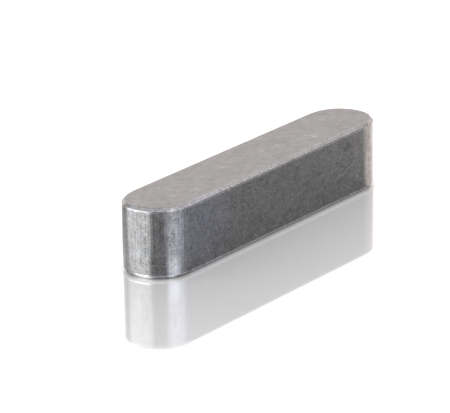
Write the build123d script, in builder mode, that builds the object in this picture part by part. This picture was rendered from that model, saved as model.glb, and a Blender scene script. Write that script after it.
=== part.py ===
from build123d import *

import os

# Parallel key with two fully rounded ends, cut from bright-drawn square steel bar.
# X runs along the key, Y across it from working side to working side, and +Z is up.
# The origin is the middle of the flat face that lies on the keyway's floor.

# Driving dimensions, in millimetres
key_length = 32.0  # over both rounded ends
key_width = 6.0  # across the working sides, and the diameter of the rounded ends
key_height = 6.0  # between the two flat faces
edge_break = 0.25  # leg of the 45-degree chamfer that runs round each flat face
edge_softening = 0.2  # radius that tumbling leaves along both borders of a chamfer

os.makedirs("parts", exist_ok=True)

with BuildPart() as parallel_key:
    # The form milled on the bar: straight working sides run into full-radius ends.
    with BuildSketch(Plane.XY) as outline:
        SlotOverall(key_length, key_width)
    extrude(amount=key_height)

    # Each flat face is broken all the way round, so the key clears the keyway's corner radius.
    face_rims = parallel_key.edges().filter_by(Plane.XY)
    chamfer(face_rims, length=edge_break)

    # Tumbling takes the sharpness off the two borders of each chamfer.
    chamfer_borders = parallel_key.edges().filter_by(Plane.XY)
    fillet(chamfer_borders, radius=edge_softening)

parallel_key.part.label = "parallel_key"
export_step(parallel_key.part, "parts/parallel_key.step")
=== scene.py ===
import math

import bpy
from mathutils import Matrix, Vector


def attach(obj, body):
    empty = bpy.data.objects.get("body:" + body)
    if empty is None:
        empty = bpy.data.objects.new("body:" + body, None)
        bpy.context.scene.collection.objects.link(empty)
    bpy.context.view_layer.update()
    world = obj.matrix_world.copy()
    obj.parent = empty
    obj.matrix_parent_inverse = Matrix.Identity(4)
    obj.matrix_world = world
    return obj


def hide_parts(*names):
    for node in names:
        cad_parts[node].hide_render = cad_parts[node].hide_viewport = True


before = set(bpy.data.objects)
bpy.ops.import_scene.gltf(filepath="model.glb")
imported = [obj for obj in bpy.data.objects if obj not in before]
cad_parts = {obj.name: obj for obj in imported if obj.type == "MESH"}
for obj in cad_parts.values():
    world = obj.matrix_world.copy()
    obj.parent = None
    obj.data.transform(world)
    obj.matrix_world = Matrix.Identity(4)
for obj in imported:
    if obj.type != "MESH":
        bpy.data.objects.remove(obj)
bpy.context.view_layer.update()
print("frame loaded:", sorted(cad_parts))

mm = 0.001
weld = 0.002 * mm  # points closer than this are one

# The key's own sizes, in millimetres
keyLength = 32.0
keyWidth = 6.0
keyHeight = 6.0
keyRound = keyWidth / 2  # radius of the round ends
keyStraight = keyLength / 2 - keyRound  # from the middle to the centre of an end


# A node with its settings and inputs in one call: a socket is linked, anything else is a plain value
def addNode(tree, kind, values=None, **settings):
    node = tree.nodes.new(kind)
    for name, value in settings.items():
        setattr(node, name, value)
    for name, value in (values or {}).items():
        if isinstance(value, bpy.types.NodeSocket):
            tree.links.new(value, node.inputs[name])
        else:
            node.inputs[name].default_value = value
    return node


def calc(tree, operation, *terms, clamp=False):
    node = addNode(tree, "ShaderNodeMath", dict(enumerate(terms)), operation=operation, use_clamp=clamp)
    return node.outputs[0]


def calcVector(tree, operation, *terms, result="Vector"):
    return addNode(tree, "ShaderNodeVectorMath", dict(enumerate(terms)), operation=operation).outputs[result]


def scaled(tree, vector, factor):
    return addNode(tree, "ShaderNodeVectorMath", {0: vector, "Scale": factor}, operation="SCALE").outputs[0]


def stretched(tree, vector, factors):
    return calcVector(tree, "MULTIPLY", vector, factors)


# 0 below low, 1 above high, and smooth between them
def ramp(tree, value, low, high):
    node = addNode(tree, "ShaderNodeMapRange", {"Value": value}, interpolation_type="SMOOTHSTEP")
    node.inputs["From Min"].default_value = low
    node.inputs["From Max"].default_value = high
    return node.outputs["Result"]


def noise(tree, vector, scale, detail=3.0, roughness=0.55, seed=0.0):
    node = addNode(tree, "ShaderNodeTexNoise",
                   {"Vector": vector, "W": seed, "Scale": scale, "Detail": detail, "Roughness": roughness},
                   noise_dimensions="4D")
    return node.outputs[0]


def centred(tree, pattern):
    return calc(tree, "SUBTRACT", pattern, 0.5)


# start plus each pattern times its amount
def mixed(tree, start, *layers):
    total = start
    for pattern, amount in layers:
        total = calc(tree, "MULTIPLY_ADD", pattern, amount, total)
    return total


# 1 in the given share of the cells, by each cell's own random number
def chosen(tree, chance, share, step=0.02):
    return ramp(tree, chance, 1.0 - share, 1.0 - share + step)


# Small round specks of random size, in some cells of a Voronoi pattern
def specks(tree, place, cellSize, radius, share, seed=0.0, soft=0.5):
    cells = addNode(tree, "ShaderNodeTexVoronoi", {"Vector": place, "W": seed, "Scale": 1 / cellSize},
                    voronoi_dimensions="4D")
    chance = addNode(tree, "ShaderNodeSeparateXYZ", {0: cells.outputs["Color"]})
    size = calc(tree, "MULTIPLY", chance.outputs["Y"], radius / cellSize)
    dot = calc(tree, "SUBTRACT", size, cells.outputs["Distance"])
    dot = ramp(tree, dot, 0.0, soft * radius / cellSize)
    return calc(tree, "MULTIPLY", dot, chosen(tree, chance.outputs["X"], share))


# How far a place is, in plan, from the key's spine between its two arc centres
def fromSpine(tree, place, straightHalf):
    at = addNode(tree, "ShaderNodeSeparateXYZ", {0: place}).outputs
    past = calc(tree, "MAXIMUM", calc(tree, "SUBTRACT", calc(tree, "ABSOLUTE", at["X"]), straightHalf), 0.0)
    reach = addNode(tree, "ShaderNodeCombineXYZ", {"X": past, "Y": at["Y"]}).outputs[0]
    return calcVector(tree, "LENGTH", reach, result="Value")


# The camera looks at a point of the key from its front left, a long way off
cameraView = {
    "azimuth": -54.4,
    "elevation": 18.3,
    "roll": -0.9,
    "distance": 288.0 * mm,
    "lens": 277.0,
    "aim": Vector((-0.93, 2.13, 1.47)) * mm,
    "sensor": 36.0,
    "nearClip": 15.0 * mm,
    "farClip": 12.0,
}


def makeCamera(view):
    azimuth, elevation, roll = (math.radians(view[name]) for name in ("azimuth", "elevation", "roll"))
    back = Vector((math.sin(azimuth) * math.cos(elevation), -math.cos(azimuth) * math.cos(elevation),
                   math.sin(elevation)))
    right = Vector((math.cos(azimuth), math.sin(azimuth), 0))
    up = back.cross(right)
    turned = math.cos(roll) * right + math.sin(roll) * up
    camera = bpy.data.objects.new("camera", bpy.data.cameras.new("camera"))
    camera.data.sensor_width = view["sensor"]
    camera.data.lens = view["lens"]
    camera.data.clip_start = view["nearClip"]
    camera.data.clip_end = view["farClip"]
    camera.matrix_world = Matrix.Translation(view["aim"] + back * view["distance"]) @ Matrix(
        (turned, back.cross(turned), back)).transposed().to_4x4()
    bpy.context.scene.collection.objects.link(camera)
    bpy.context.scene.camera = camera


makeCamera(cameraView)
bpy.context.scene.view_settings.view_transform = "Standard"
print("camera placed")


# A white acrylic table top lit from below, glossy enough to hold a clear mirror image.
# Its glow carries painted shade: lower near the key as a soft painted shadow, and least under its foot as a
# painted contact shadow; those distances are from the key's spine.
floorSheet = {
    "half": 3.0,  # metres
    "white": (0.45, 0.45, 0.45),
    "glow": 0.46,
    # openGlow and its distances paint a soft shadow round the key; footShade and its distances paint the
    # contact shadow at its foot
    "openGlow": 0.16,
    "openFrom": 4.0 * mm,
    "openTo": 25.0 * mm,
    "footShade": 0.35,
    "shadeFrom": 2.75 * mm,
    "shadeTo": 3.50 * mm,
    "mirrorShare": 0.42,
    "mirrorRoughness": 0.04,
}


def makeFloor(sheet):
    finish = bpy.data.materials.new("litAcrylicTable")
    finish.use_nodes = True
    tree = finish.node_tree
    tree.nodes.clear()
    place = addNode(tree, "ShaderNodeTexCoord").outputs["Object"]
    fromKey = fromSpine(tree, place, keyStraight * mm)
    # painted shade: the glow rises with distance from the key
    clear = ramp(tree, fromKey, sheet["openFrom"], sheet["openTo"])
    glow = calc(tree, "MULTIPLY_ADD", clear, sheet["openGlow"], sheet["glow"])
    # painted contact shadow at the key's foot, on both the glow and the diffuse white
    foot = ramp(tree, fromKey, sheet["shadeTo"], sheet["shadeFrom"])
    foot = calc(tree, "SUBTRACT", 1.0, calc(tree, "MULTIPLY", foot, sheet["footShade"]))
    glow = addNode(tree, "ShaderNodeEmission", {"Color": glow, "Strength": foot})
    dull = addNode(tree, "ShaderNodeBsdfDiffuse", {"Color": scaled(tree, sheet["white"], foot)})
    body = addNode(tree, "ShaderNodeAddShader", {0: dull.outputs[0], 1: glow.outputs[0]})
    glossy = addNode(tree, "ShaderNodeBsdfAnisotropic",
                     {"Color": (1, 1, 1, 1), "Roughness": sheet["mirrorRoughness"]})
    both = addNode(tree, "ShaderNodeMixShader",
                   {0: sheet["mirrorShare"], 1: body.outputs[0], 2: glossy.outputs[0]})
    addNode(tree, "ShaderNodeOutputMaterial", {"Surface": both.outputs[0]})
    mesh = bpy.data.meshes.new("floor")
    half = sheet["half"]
    corners = [(-half, -half, 0), (half, -half, 0), (half, half, 0), (-half, half, 0)]
    mesh.from_pydata(corners, [], [(0, 1, 2, 3)])
    mesh.materials.append(finish)
    floor = bpy.data.objects.new("floor", mesh)
    bpy.context.scene.collection.objects.link(floor)


makeFloor(floorSheet)


# Soft lights that lie flat on the table and shine up into the round ends; the camera doesn't see them.
# Centres and sizes are millimetres, turns are degrees.
tableLights = {
    "nearLight": {"centre": (-36.0, 14.0), "turn": 188, "size": (35.0, 35.0),
                  "light": 1.1, "tint": (1.0, 1.0, 1.0)},
    "backLight": {"centre": (-16.9, 18.2), "turn": 188, "size": (4.0, 32.0),
                  "light": 0.6, "tint": (1.0, 1.0, 1.0)},
    "farLight": {"centre": (39.0, 5.0), "turn": -30, "size": (35.0, 40.0),
                 "light": 1.1, "tint": (1.0, 0.90, 0.85)},
}


lightLift = 0.02  # millimetres, just clear of the table


def addTableLight(name, spec):
    lamp = bpy.data.lights.new(name, "AREA")
    lamp.shape = "RECTANGLE"
    lamp.size, lamp.size_y = (side * mm for side in spec["size"])
    lamp.color = spec["tint"]
    lamp.energy = spec["light"] * math.pi * lamp.size * lamp.size_y
    carrier = bpy.data.objects.new(name, lamp)
    x, y = spec["centre"]
    carrier.matrix_world = (Matrix.Translation(Vector((x, y, lightLift)) * mm)
                            @ Matrix.Rotation(math.radians(spec["turn"]), 4, "Z")
                            @ Matrix.Rotation(math.pi, 4, "X"))
    carrier.visible_camera = False
    bpy.context.scene.collection.objects.link(carrier)


for name, spec in tableLights.items():
    addTableLight(name, spec)


# The studio: soft panels round the key, far off. Angles are degrees, azimuth counted from +X.
studioPanels = {
    "leftBox": {"azimuth": 146, "height": 12, "halfWidth": 42, "halfHeight": 24,
                "soft": 0.4, "light": (2.6, 2.6, 2.6)},
    "coolBox": {"azimuth": 272, "height": 24, "halfWidth": 28, "halfHeight": 15,
                "soft": 0.3, "light": (1.5, 1.55, 1.78)},
    "edgeLamp": {"azimuth": 342, "height": 40, "halfWidth": 30, "halfHeight": 14,
                 "soft": 0.5, "light": (0.24, 0.20, 0.18)},
    "warmLamp": {"azimuth": 348, "height": 8, "halfWidth": 15, "halfHeight": 16,
                 "soft": 0.2, "light": (1.3, 1.0, 0.9)},
    "backdrop": {"azimuth": 38, "height": 12, "halfWidth": 40, "halfHeight": 36,
                 "soft": 0.3, "light": (1.38, 1.28, 1.22)},
    "ceiling": {"azimuth": 0, "height": 90, "halfWidth": 60, "halfHeight": 60,
                "soft": 0.3, "light": (0.80, 0.80, 0.80)},
}
studioAir = {
    "ambient": (0.10, 0.10, 0.12),
    "edgeOn": 0.02,  # a panel fades out for directions that come this near to its plane
    "least": 0.001,  # keeps the division by the distance ahead finite
}


def addPanel(tree, direction, panel, air):
    azimuth, height = math.radians(panel["azimuth"]), math.radians(panel["height"])
    facing = Vector((math.cos(height) * math.cos(azimuth), math.cos(height) * math.sin(azimuth),
                     math.sin(height)))
    sideways = Vector((-math.sin(azimuth), math.cos(azimuth), 0.0))
    upwards = facing.cross(sideways)
    ahead = calcVector(tree, "DOT_PRODUCT", direction, facing, result="Value")
    mask = ramp(tree, ahead, 0.0, air["edgeOn"])
    ahead = calc(tree, "MAXIMUM", ahead, air["least"])
    for axis, half in ((sideways, panel["halfWidth"]), (upwards, panel["halfHeight"])):
        off = calc(tree, "ABSOLUTE", calcVector(tree, "DOT_PRODUCT", direction, axis, result="Value"))
        off = calc(tree, "DIVIDE", off, ahead)
        reach = math.tan(math.radians(half))
        mask = calc(tree, "MULTIPLY", mask,
                    ramp(tree, off, reach * (1 + panel["soft"]), reach * (1 - panel["soft"])))
    return scaled(tree, panel["light"], mask)


def makeWorld(panels, air):
    world = bpy.data.worlds.new("studio")
    bpy.context.scene.world = world
    world.use_nodes = True
    tree = world.node_tree
    direction = addNode(tree, "ShaderNodeTexCoord").outputs["Generated"]
    light = air["ambient"]
    for panel in panels.values():
        light = calcVector(tree, "ADD", light, addPanel(tree, direction, panel, air))
    tree.links.new(light, tree.nodes["Background"].inputs["Color"])


makeWorld(studioPanels, studioAir)
print("floor and light ready")


# Straight hairline marks: some cells of a Voronoi pattern hold one,
# cut out by two planes through the cell's point
def hairlines(tree, place, cellSize, halfWidth, halfLength, share, solid=0.4):
    cells = addNode(tree, "ShaderNodeTexVoronoi", {"Vector": place, "Scale": 1 / cellSize})
    fromPoint = calcVector(tree, "SUBTRACT", place, cells.outputs["Position"])
    chance = addNode(tree, "ShaderNodeSeparateXYZ", {0: cells.outputs["Color"]})
    along = calcVector(tree, "SUBTRACT", cells.outputs["Color"], (0.5, 0.5, 0.5))
    anySlant = (0.31, 0.47, 0.83)
    across = calcVector(tree, "NORMALIZE", calcVector(tree, "CROSS_PRODUCT", along, anySlant))
    along = calcVector(tree, "NORMALIZE", along)
    off = calc(tree, "ABSOLUTE", calcVector(tree, "DOT_PRODUCT", fromPoint, across, result="Value"))
    reach = calc(tree, "ABSOLUTE", calcVector(tree, "DOT_PRODUCT", fromPoint, along, result="Value"))
    line = ramp(tree, off, halfWidth, 0.0)
    line = calc(tree, "MULTIPLY", line, ramp(tree, reach, halfLength, solid * halfLength))
    return calc(tree, "MULTIPLY", line, chosen(tree, chance.outputs["X"], share))


# Short curved scratches: some cells of a flat Voronoi pattern hold an arc through the cell's point
def arcs(tree, place, cellSize, bend, halfWidth, halfLength, share, shortest=0.4, solid=0.3):
    flat = stretched(tree, place, (1.0, 1.0, 0.0))
    cells = addNode(tree, "ShaderNodeTexVoronoi", {"Vector": flat, "Scale": 1 / cellSize},
                    voronoi_dimensions="2D")
    fromPoint = calcVector(tree, "SUBTRACT", flat, cells.outputs["Position"])
    chance = addNode(tree, "ShaderNodeSeparateXYZ", {0: cells.outputs["Color"]})
    aside = calcVector(tree, "SUBTRACT", cells.outputs["Color"], (0.5, 0.5, 0.0))
    aside = calcVector(tree, "NORMALIZE", stretched(tree, aside, (1.0, 1.0, 0.0)))
    centre = scaled(tree, aside, bend)
    off = calcVector(tree, "DISTANCE", fromPoint, centre, result="Value")
    off = calc(tree, "ABSOLUTE", calc(tree, "SUBTRACT", off, bend))
    reach = calc(tree, "DIVIDE", calcVector(tree, "LENGTH", fromPoint, result="Value"),
                 calc(tree, "ADD", chance.outputs["Y"], shortest))
    line = calc(tree, "MULTIPLY", ramp(tree, off, halfWidth, 0.0),
                ramp(tree, reach, halfLength, solid * halfLength))
    return calc(tree, "MULTIPLY", line, chosen(tree, chance.outputs["Z"], share, 0.1))


# 1 along a chain of straight pieces through the given points, 0 beyond halfWidth of it
def stroke(tree, place, points, halfWidth, solid=0.2):
    nearest = 2 * keyLength  # further than any place on the key
    for start, finish in zip(points, points[1:]):
        span = Vector(finish) - Vector(start)
        fromStart = calcVector(tree, "SUBTRACT", place, start)
        along = calc(tree, "DIVIDE", calcVector(tree, "DOT_PRODUCT", fromStart, span, result="Value"),
                     span.length_squared, clamp=True)
        gap = calcVector(tree, "DISTANCE", fromStart, scaled(tree, span, along), result="Value")
        nearest = calc(tree, "MINIMUM", nearest, gap)
    return ramp(tree, nearest, halfWidth, solid * halfWidth)


# A small random shift, to make a drawn line wander
def noiseShift(tree, place):
    node = addNode(tree, "ShaderNodeTexNoise", {"Vector": place, "Scale": 2.5, "Detail": 2.0})
    return calcVector(tree, "SUBTRACT", node.outputs["Color"], (0.5, 0.5, 0.5))


# 1 in the middle of an egg-shaped patch, 0 beyond it
def dab(tree, place, centre, halfSize, solid=0.2):
    away = calcVector(tree, "DIVIDE", calcVector(tree, "SUBTRACT", place, centre), halfSize)
    return ramp(tree, calcVector(tree, "LENGTH", away, result="Value"), 1.0, solid)


# Tumbled bright-drawn steel. Lengths inside the material are millimetres.
# A tone or a pattern's amount adds to the steel's brightness; a depth is a height for the bump.
steelLook = {
    "tone": 0.18,
    # the flat faces are lighter than the walls partly by their ground finish and partly as a painted
    # highlight
    "faceToneAndHighlight": 0.25,
    "endTone": 0.04,
    "warmTint": (1.025, 1.00, 0.97, 1.0),
    "coolTint": (0.97, 1.00, 1.04, 1.0),
    "tintSpread": 0.2,
    # colour shift of the painted cool sheen on the long side
    "coolSheenTint": (0.94, 0.97, 1.10),
    "grazing": (0.75, 0.75, 0.75, 1.0),

    "cloud": 0.40,
    "blotch": 1.0,
    "faceGrain": 0.45,
    "sideGrain": 1.8,
    "backGrain": 1.0,
    "endGrain": 1.15,
    "polishGrain": 1.5,
    "faceGlint": 1.0,
    "sideGlint": 1.8,
    "endGlint": 1.3,
    "fade": -0.014,
    "speck": 0.7,
    "pit": -0.45,
    "hair": 0.18,
    "arc": 1.3,
    "broadStreak": 0.6,
    "fineStreak": 1.5,
    "rim": 1.4,
    "rimFrom": 0.27,
    "rimTo": 0.46,
    "ragged": 0.30,

    "faceRoughness": 0.30,
    "sideRoughness": 0.24,
    "endRoughness": 0.18,
    "rubRoughness": 0.05,
    "cloudRoughness": 0.08,
    "grainRoughness": 0.12,
    "streakRoughness": 0.16,
    "speckRoughness": 0.06,
    "hairRoughness": 0.10,

    "grainDepth": 0.0030,
    "streakDepth": 0.0050,
    "fluteDepth": 0.0080,
    "hairDepth": -0.0030,
    "pitDepth": -0.0050,
}

# Where each kind of surface begins and where it is full: by how far the surface leans,
# by millimetres past the centre of an end, and for the arcs by the cloud pattern
steelZones = {
    "wall": (0.30, 0.04),
    "face": (0.80, 0.97),
    "rim": (1.0, 0.68),
    "back": (0.5, 0.95),
    "end": (-0.5, 0.1),
    "arc": (-0.15, 0.15),
}

steelPatterns = {
    "ragged": {"scale": 3.6, "detail": 4.0, "roughness": 0.7, "seed": 9.0},
    "cloud": {"scale": 0.35, "detail": 3.0, "roughness": 0.5},
    "blotch": {"scale": 2.0, "detail": 3.0, "roughness": 0.6},
    "grain": {"scale": 5.0, "detail": 3.0, "roughness": 0.75},
    "glint": {"scale": 13.0, "detail": 1.0, "roughness": 0.5, "seed": 2.0},
    "broadStreak": {"scale": 2.2, "detail": 2.0, "roughness": 0.5},
    "fineStreak": {"scale": 7.0, "detail": 2.0, "roughness": 0.6},
    "tint": {"scale": 3.1, "detail": 2.0, "roughness": 0.6, "seed": 5.0},
    "speck": {"cellSize": 0.42, "radius": 0.15, "share": 0.40},
    "pit": {"cellSize": 0.6, "radius": 0.17, "share": 0.40, "seed": 3.0},
    "shortHair": {"cellSize": 1.3, "halfWidth": 0.05, "halfLength": 0.35, "share": 0.30},
    "longHair": {"cellSize": 3.4, "halfWidth": 0.035, "halfLength": 1.3, "share": 0.5},
    "tightArc": {"cellSize": 1.0, "bend": 0.8, "halfWidth": 0.07, "halfLength": 0.40, "share": 0.45},
    "wideArc": {"cellSize": 2.3, "bend": 3.0, "halfWidth": 0.06, "halfLength": 1.0, "share": 0.35},
}
# The drawing die stretches its patterns along the key, the cutter stretches its own up the ends
steelStretch = {
    "drawn": (0.6, 1.0, 0.9),
    "broadStreak": (1.0, 1.0, 0.05),
    "fineStreak": (1.0, 1.0, 0.03),
    "pit": (1.0, 1.1, 0.9),
}

# Single marks on this key: places in millimetres, and how much each one lightens the steel. The scratch,
# nick, smudge and dent are marks on the steel; the others are painted highlights, a painted shade and a
# painted cool sheen on the near end.
steelMarks = {
    "scratch": {"points": ((11.0, -3.0, 3.2), (10.0, -3.0, 2.8), (9.3, -3.0, 2.4), (8.2, -3.0, 2.4),
                           (7.7, -3.0, 1.7)),
                "halfWidth": 0.08, "wander": 0.12, "light": 0.40},
    "nick": {"centre": (5.7, -3.0, 0.9), "halfSize": (0.12, 0.3, 0.10), "light": 0.8},
    "smudge": {"centre": (9.8, -3.0, 4.7), "halfSize": (1.1, 0.5, 0.6), "light": -0.22},
    "dent": {"centre": (10.4, -2.3, 6.0), "halfSize": (0.16, 0.16, 0.3), "light": -0.35},
    # a smoother rubbed patch and a grainier polished band low on the near end; the lightening of both is a
    # painted highlight
    "rubAndHighlight": {"centre": (-14.6, -2.6, 0.9), "halfSize": (1.0, 0.7, 1.5), "light": 1.2},
    "polishAndHighlight": {"centre": (-14.6, -2.6, 3.0), "halfSize": (1.0, 0.7, 6.0), "light": 0.36},
    # painted highlights on the bottom rim of the near end, in place of light thrown up off the table
    "leftFootHighlight": {"centre": (-15.9, -0.5, 0.1), "halfSize": (0.6, 1.6, 0.35), "light": 3.5},
    "rightFootHighlight": {"centre": (-14.7, -2.5, 0.1), "halfSize": (0.5, 0.4, 0.35), "light": 2.5},
    # a painted shade that dims the left top rim, and a painted highlight on the right top rim of the near end
    "leftRimShade": {"centre": (-15.9, 0.8, 5.9), "halfSize": (0.4, 0.8, 0.3), "light": -0.3},
    "rightRimHighlight": {"centre": (-14.6, -2.6, 5.9), "halfSize": (0.6, 0.4, 0.3), "light": 2.0},
    # a painted cool sheen: a bluish, lighter painted reflection on the long side by the near end
    "paintedCoolSheen": {"centre": (-11.0, -3.0, 3.4), "halfSize": (5.0, 1.0, 4.5), "light": 0.19},
}


# Millimetres over the skin from the nearest edge of the full block, 0.25 all across a chamfer
def fromEdge(tree, place):
    z = addNode(tree, "ShaderNodeSeparateXYZ", {0: place}).outputs["Z"]
    inset = calc(tree, "SUBTRACT", keyRound, fromSpine(tree, place, keyStraight))
    return calc(tree, "ADD", inset, calc(tree, "MINIMUM", z, calc(tree, "SUBTRACT", keyHeight, z)))


def makeSteel(look, zones, patterns, stretch, marks):
    finish = bpy.data.materials.new("tumbledSteel")
    finish.use_nodes = True
    tree = finish.node_tree
    tree.nodes.clear()
    given = addNode(tree, "ShaderNodeTexCoord").outputs
    place = scaled(tree, given["Object"], 1 / mm)
    along = addNode(tree, "ShaderNodeSeparateXYZ", {0: place}).outputs["X"]
    past = calc(tree, "SUBTRACT", calc(tree, "ABSOLUTE", along), keyStraight)
    outward = addNode(tree, "ShaderNodeSeparateXYZ", {0: given["Normal"]}).outputs
    lift = calc(tree, "ABSOLUTE", outward["Z"])

    def layer(name, at=place):
        return centred(tree, noise(tree, at, **patterns[name]))

    # where on the key: the walls, the flat faces, the back long side, the round ends and the rims
    wall = ramp(tree, lift, *zones["wall"])
    face = ramp(tree, lift, *zones["face"])
    back = ramp(tree, outward["Y"], *zones["back"])
    end = calc(tree, "MULTIPLY", wall, ramp(tree, past, *zones["end"]))
    rim = calc(tree, "MULTIPLY_ADD", layer("ragged"), look["ragged"], fromEdge(tree, place))
    rim = ramp(tree, rim, look["rimTo"], look["rimFrom"])
    rim = calc(tree, "MULTIPLY", rim, ramp(tree, lift, *zones["rim"]))

    # what the mill, the cutter and the barrel left
    drawn = stretched(tree, place, stretch["drawn"])
    cloud = layer("cloud")
    blotch = layer("blotch", drawn)
    grain = layer("grain", drawn)
    glint = layer("glint")
    broadStreak, fineStreak = (
        calc(tree, "MULTIPLY", layer(name, stretched(tree, place, stretch[name])), end)
        for name in ("broadStreak", "fineStreak"))
    speck = specks(tree, place, **patterns["speck"])
    pit = specks(tree, stretched(tree, place, stretch["pit"]), **patterns["pit"])
    hair = calc(tree, "ADD", hairlines(tree, place, **patterns["shortHair"]),
                hairlines(tree, place, **patterns["longHair"]))
    arc = calc(tree, "ADD", arcs(tree, place, **patterns["tightArc"]),
               arcs(tree, place, **patterns["wideArc"]))
    arc = calc(tree, "MULTIPLY", arc, calc(tree, "MULTIPLY", face, ramp(tree, cloud, *zones["arc"])))

    scratchMark = marks["scratch"]
    shaken = calcVector(tree, "ADD", place, scaled(tree, noiseShift(tree, place), scratchMark["wander"]))
    scratch = stroke(tree, shaken, scratchMark["points"], scratchMark["halfWidth"])
    # the patches include painted highlights, a painted shade and a painted cool sheen, summed here with the
    # real marks
    patch = {name: dab(tree, place, mark["centre"], mark["halfSize"])
             for name, mark in marks.items() if "centre" in mark}
    marksAndPaintedLight = mixed(tree, 0.0, (scratch, scratchMark["light"]),
                   *((spot, marks[name]["light"]) for name, spot in patch.items()))

    # each zone's own amount of grain and glint, on top of the side's
    grainShare = mixed(tree, look["sideGrain"], (face, look["faceGrain"] - look["sideGrain"]),
                       (end, look["endGrain"] - look["sideGrain"]),
                       (back, look["backGrain"] - look["sideGrain"]), (patch["polishAndHighlight"], look["polishGrain"]))
    glintShare = mixed(tree, look["sideGlint"], (face, look["faceGlint"] - look["sideGlint"]),
                       (end, look["endGlint"] - look["sideGlint"]))
    texture = mixed(tree, calc(tree, "MULTIPLY", grain, grainShare), (glint, glintShare))
    texture = calc(tree, "MULTIPLY", texture, mixed(tree, 1.0, (along, look["fade"])))
    factor = mixed(tree, 1.0, (cloud, look["cloud"]), (blotch, look["blotch"]), (texture, 1.0),
                   (speck, look["speck"]), (pit, look["pit"]), (hair, look["hair"]), (arc, look["arc"]),
                   (broadStreak, look["broadStreak"]), (fineStreak, look["fineStreak"]), (rim, look["rim"]),
                   (face, look["faceToneAndHighlight"]), (end, look["endTone"]), (marksAndPaintedLight, 1.0))

    # a Mix node in colour mode takes 0 factor, 6 and 7 colours, and gives its mix at 2
    tintSide = ramp(tree, layer("tint"), -look["tintSpread"], look["tintSpread"])
    tint = addNode(tree, "ShaderNodeMix", {0: tintSide, 6: look["warmTint"], 7: look["coolTint"]},
                   data_type="RGBA").outputs[2]
    # painted cool sheen: a bluish painted reflection on the long side by the near end
    tint = addNode(tree, "ShaderNodeMix",
                   {0: patch["paintedCoolSheen"], 6: tint, 7: calcVector(tree, "MULTIPLY", tint, look["coolSheenTint"])},
                   data_type="RGBA").outputs[2]
    colour = scaled(tree, tint, calc(tree, "MULTIPLY", factor, look["tone"]))

    roughness = mixed(tree, look["sideRoughness"], (end, look["endRoughness"] - look["sideRoughness"]),
                      (face, look["faceRoughness"] - look["sideRoughness"]),
                      (cloud, look["cloudRoughness"]), (grain, look["grainRoughness"]),
                      (fineStreak, look["streakRoughness"]), (speck, look["speckRoughness"]),
                      (hair, look["hairRoughness"]), (patch["rubAndHighlight"], look["rubRoughness"]))
    height = mixed(tree, 0.0, (grain, look["grainDepth"]), (fineStreak, look["streakDepth"]),
                   (broadStreak, look["fluteDepth"]), (hair, look["hairDepth"]), (pit, look["pitDepth"]))
    relief = addNode(tree, "ShaderNodeBump", {"Height": height, "Distance": mm, "Strength": 1.0})
    shader = addNode(tree, "ShaderNodeBsdfPrincipled",
                     {"Metallic": 1.0, "Specular Tint": look["grazing"], "Roughness": roughness,
                      "Normal": relief.outputs[0], "Base Color": colour})
    addNode(tree, "ShaderNodeOutputMaterial", {"Surface": shader.outputs[0]})
    return finish


# One closed skin: the key's half section swept round its full-radius outline
keyBody = {
    "Length": keyLength * mm,
    "Width": keyWidth * mm,
    "Height": keyHeight * mm,
    "Edge Break": 0.25 * mm,
    "Edge Softening": 0.20 * mm,
    "End Relief": 0.06 * mm,
    "Relief Run": 0.80 * mm,
    "Ripple Depth": 0.005 * mm,
    "Flute Depth": 0.004 * mm,
    "Rim Wander": 0.045 * mm,
    "Nick Depth": 0.070 * mm,
    "Step Along": 0.075 * mm,
    "Step Down": 0.20 * mm,
    "Seed": 7,
}


def addInputs(tree, settings):
    for name, value in settings.items():
        kind = "NodeSocketInt" if isinstance(value, int) else "NodeSocketFloat"
        tree.interface.new_socket(name, in_out="INPUT", socket_type=kind).default_value = value
    tree.interface.new_socket("Finish", in_out="INPUT", socket_type="NodeSocketMaterial")
    tree.interface.new_socket("Geometry", in_out="OUTPUT", socket_type="NodeSocketGeometry")
    return tree.nodes.new("NodeGroupInput").outputs


# Cuts each span of a polyline into equal steps no longer than step
def evenSteps(tree, curve, step):
    place = addNode(tree, "GeometryNodeInputPosition").outputs[0]
    following = addNode(tree, "GeometryNodeOffsetPointInCurve", {"Offset": 1}).outputs["Point Index"]
    nextPlace = addNode(tree, "GeometryNodeFieldAtIndex", {"Value": place, "Index": following},
                        data_type="FLOAT_VECTOR").outputs[0]
    span = calcVector(tree, "DISTANCE", place, nextPlace, result="Value")
    cuts = calc(tree, "FLOOR", calc(tree, "DIVIDE", span, step))
    return addNode(tree, "GeometryNodeSubdivideCurve", {"Curve": curve, "Cuts": cuts}).outputs[0]


# The relief rises over this many runs about the start of the arc, and falls to nothing at the tip
reliefRise = (-1.0, 0.6)
reliefFall = (1.0, 0.35)


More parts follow.
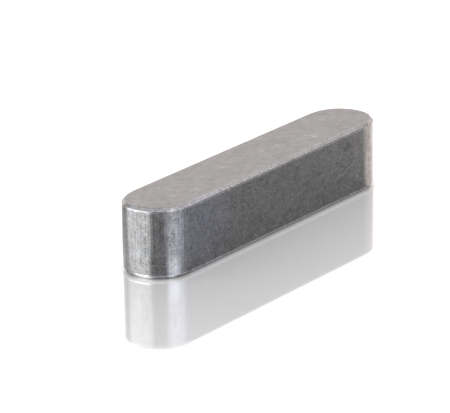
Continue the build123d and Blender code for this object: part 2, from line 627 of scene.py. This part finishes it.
# The milled round ends stand a trace inside the drawn sides and blend into them before the arc begins
def relievedEnds(tree, skin, size, endRadius):
    place = addNode(tree, "GeometryNodeInputPosition").outputs[0]
    at = addNode(tree, "ShaderNodeSeparateXYZ", {0: place}).outputs
    straightHalf = calc(tree, "SUBTRACT", calc(tree, "DIVIDE", size["Length"], 2.0), endRadius)
    spineX = calc(tree, "MINIMUM", calc(tree, "MAXIMUM", at["X"], calc(tree, "MULTIPLY", straightHalf, -1.0)),
                  straightHalf)
    spine = addNode(tree, "ShaderNodeCombineXYZ", {"X": spineX, "Z": at["Z"]}).outputs[0]
    away = calcVector(tree, "SUBTRACT", place, spine)
    reach = calc(tree, "MAXIMUM", calcVector(tree, "LENGTH", away, result="Value"), weld)
    past = calc(tree, "SUBTRACT", calc(tree, "ABSOLUTE", at["X"]), straightHalf)
    turn = calc(tree, "ADD", calc(tree, "DIVIDE", calc(tree, "MAXIMUM", past, 0.0), reach),
                calc(tree, "DIVIDE", calc(tree, "MINIMUM", past, 0.0), endRadius))
    run = calc(tree, "DIVIDE", size["Relief Run"], endRadius)
    ease = ramp(tree, calc(tree, "DIVIDE", turn, run), *reliefRise)
    ease = calc(tree, "MULTIPLY", ease, ramp(tree, turn, *reliefFall))
    shrink = calc(tree, "MULTIPLY", ease, calc(tree, "DIVIDE", size["End Relief"], endRadius))
    kept = calcVector(tree, "ADD", spine, scaled(tree, away, calc(tree, "SUBTRACT", 1.0, shrink)))
    return addNode(tree, "GeometryNodeSetPosition", {"Geometry": skin, "Position": kept}).outputs[0]


# Patterns for the tool marks in the mesh, in millimetres, and where they are full:
# by how far the surface leans, and by millimetres past the centre of an end
toolPatterns = {
    "ripple": {"scale": 0.5, "detail": 2.0, "roughness": 0.5},
    "flute": {"scale": 2.4, "detail": 1.0, "roughness": 0.5},
    "wander": {"scale": 1.1, "detail": 3.0, "roughness": 0.6},
    "nick": {"cellSize": 0.9, "radius": 0.30, "share": 0.30},
}
toolZones = {
    "wall": (0.12, 0.01),
    "milled": (-0.7, 0.1),
}
fluteStretch = (1.0, 1.0, 0.06)


# What the cutter and the tumbling barrel leave, all of it sunk below the true faces
def toolMarks(tree, skin, size, endRadius):
    place = scaled(tree, addNode(tree, "GeometryNodeInputPosition").outputs[0], 1 / mm)
    outward = addNode(tree, "GeometryNodeInputNormal").outputs[0]
    lift = addNode(tree, "ShaderNodeSeparateXYZ", {0: outward}).outputs["Z"]
    lift = calc(tree, "MULTIPLY", lift, lift)
    # 1 where the skin leans half way between wall and flat face, 0 on both
    rim = calc(tree, "MULTIPLY", calc(tree, "MULTIPLY", lift, 4.0), calc(tree, "SUBTRACT", 1.0, lift))
    wall = ramp(tree, lift, *toolZones["wall"])
    straightRun = calc(tree, "SUBTRACT", calc(tree, "DIVIDE", size["Length"], 2.0), endRadius)
    straightHalf = calc(tree, "DIVIDE", straightRun, mm)
    x = calc(tree, "ABSOLUTE", addNode(tree, "ShaderNodeSeparateXYZ", {0: place}).outputs["X"])
    milled = calc(tree, "MULTIPLY", wall,
                  ramp(tree, calc(tree, "SUBTRACT", x, straightHalf), *toolZones["milled"]))
    ripple = noise(tree, place, seed=size["Seed"], **toolPatterns["ripple"])
    flute = noise(tree, stretched(tree, place, fluteStretch), seed=size["Seed"], **toolPatterns["flute"])
    wander = noise(tree, place, seed=size["Seed"], **toolPatterns["wander"])
    nick = specks(tree, place, seed=size["Seed"], **toolPatterns["nick"])
    depth = calc(tree, "MULTIPLY", ripple, size["Ripple Depth"])
    for pattern, where, sizeName in ((flute, milled, "Flute Depth"), (wander, rim, "Rim Wander"),
                                     (nick, rim, "Nick Depth")):
        depth = calc(tree, "MULTIPLY_ADD", calc(tree, "MULTIPLY", pattern, where), size[sizeName], depth)
    offset = scaled(tree, outward, calc(tree, "MULTIPLY", depth, -1.0))
    return addNode(tree, "GeometryNodeSetPosition", {"Geometry": skin, "Offset": offset}).outputs[0]


softeningSteps = 6


def makeKeyTree(settings):
    tree = bpy.data.node_groups.new("keySweep", "GeometryNodeTree")
    given = addInputs(tree, settings)
    size = {name: given[name] for name in settings}
    endRadius = calc(tree, "DIVIDE", size["Width"], 2.0)

    outline = addNode(tree, "GeometryNodeCurvePrimitiveQuadrilateral",
                      {"Width": size["Length"], "Height": size["Width"]}).outputs[0]
    arcSteps = calc(tree, "CEIL", calc(tree, "DIVIDE", calc(tree, "MULTIPLY", endRadius, math.pi / 2),
                                       size["Step Along"]))
    outline = addNode(tree, "GeometryNodeFilletCurve",
                      {"Curve": outline, "Count": arcSteps, "Radius": endRadius}, mode="POLY").outputs[0]
    # the two fillets of an end meet at its tip, and their double point there has to go
    loop = addNode(tree, "GeometryNodeCurveToMesh", {"Curve": outline}).outputs[0]
    loop = addNode(tree, "GeometryNodeMergeByDistance", {"Geometry": loop, "Distance": weld}).outputs[0]
    outline = addNode(tree, "GeometryNodeMeshToCurve", {"Mesh": loop}).outputs[0]
    outline = evenSteps(tree, outline, size["Step Along"])
    outline = addNode(tree, "GeometryNodeSetCurveNormal", {"Curve": outline}, mode="Z_UP").outputs[0]

    brokenTop = calc(tree, "SUBTRACT", size["Height"], size["Edge Break"])
    stations = ((endRadius, size["Height"]), (size["Edge Break"], size["Height"]), (0.0, brokenTop),
                (0.0, size["Edge Break"]), (size["Edge Break"], 0.0), (endRadius, 0.0))
    corner = addNode(tree, "GeometryNodeIndexSwitch",
                     {"Index": addNode(tree, "GeometryNodeInputIndex").outputs[0]}, data_type="VECTOR")
    for _ in range(len(stations) - len(corner.index_switch_items)):
        corner.index_switch_items.new()
    for index, (inset, height) in enumerate(stations):
        point = addNode(tree, "ShaderNodeCombineXYZ",
                        {"X": calc(tree, "MULTIPLY", inset, -1.0), "Y": calc(tree, "MULTIPLY", height, -1.0)})
        tree.links.new(point.outputs[0], corner.inputs[index + 1])
    section = addNode(tree, "GeometryNodePoints",
                      {"Count": len(stations), "Position": corner.outputs[0]}).outputs[0]
    section = addNode(tree, "GeometryNodePointsToCurves", {"Points": section}).outputs[0]
    section = addNode(tree, "GeometryNodeFilletCurve",
                      {"Curve": section, "Count": softeningSteps, "Radius": size["Edge Softening"]},
                      mode="POLY").outputs[0]
    section = evenSteps(tree, section, size["Step Down"])

    skin = addNode(tree, "GeometryNodeCurveToMesh", {"Curve": outline, "Profile Curve": section}).outputs[0]
    skin = addNode(tree, "GeometryNodeMergeByDistance", {"Geometry": skin, "Distance": weld}).outputs[0]
    skin = relievedEnds(tree, skin, size, endRadius)
    skin = toolMarks(tree, skin, size, endRadius)
    skin = addNode(tree, "GeometryNodeSetShadeSmooth", {"Geometry": skin}).outputs[0]
    skin = addNode(tree, "GeometryNodeRealizeInstances", {"Geometry": skin}).outputs[0]
    skin = addNode(tree, "GeometryNodeSetMaterial",
                   {"Geometry": skin, "Material": given["Finish"]}).outputs[0]
    addNode(tree, "NodeGroupOutput", {"Geometry": skin})
    return tree


def makeKey(settings, finish):
    tree = makeKeyTree(settings)
    carrier = bpy.data.objects.new("keyCarrier", bpy.data.meshes.new("keyCarrier"))
    bpy.context.scene.collection.objects.link(carrier)
    modifier = carrier.modifiers.new("keySweep", "NODES")
    modifier.node_group = tree
    for item in tree.interface.items_tree:
        if item.in_out == "INPUT":
            modifier[item.identifier] = finish if item.name == "Finish" else settings[item.name]
    evaluated = carrier.evaluated_get(bpy.context.evaluated_depsgraph_get())
    mesh = bpy.data.meshes.new_from_object(evaluated)
    mesh.name = "keySkin"
    carrier.modifiers.remove(modifier)
    bpy.data.objects.remove(carrier)
    key = bpy.data.objects.new("keySkin", mesh)
    bpy.context.scene.collection.objects.link(key)
    return key


steel = makeSteel(steelLook, steelZones, steelPatterns, steelStretch, steelMarks)
print("steel ready")
key = makeKey(keyBody, steel)
print("key made:", len(key.data.vertices), "vertices,", len(key.data.polygons), "faces")
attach(key, "root")
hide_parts("parallel_key")
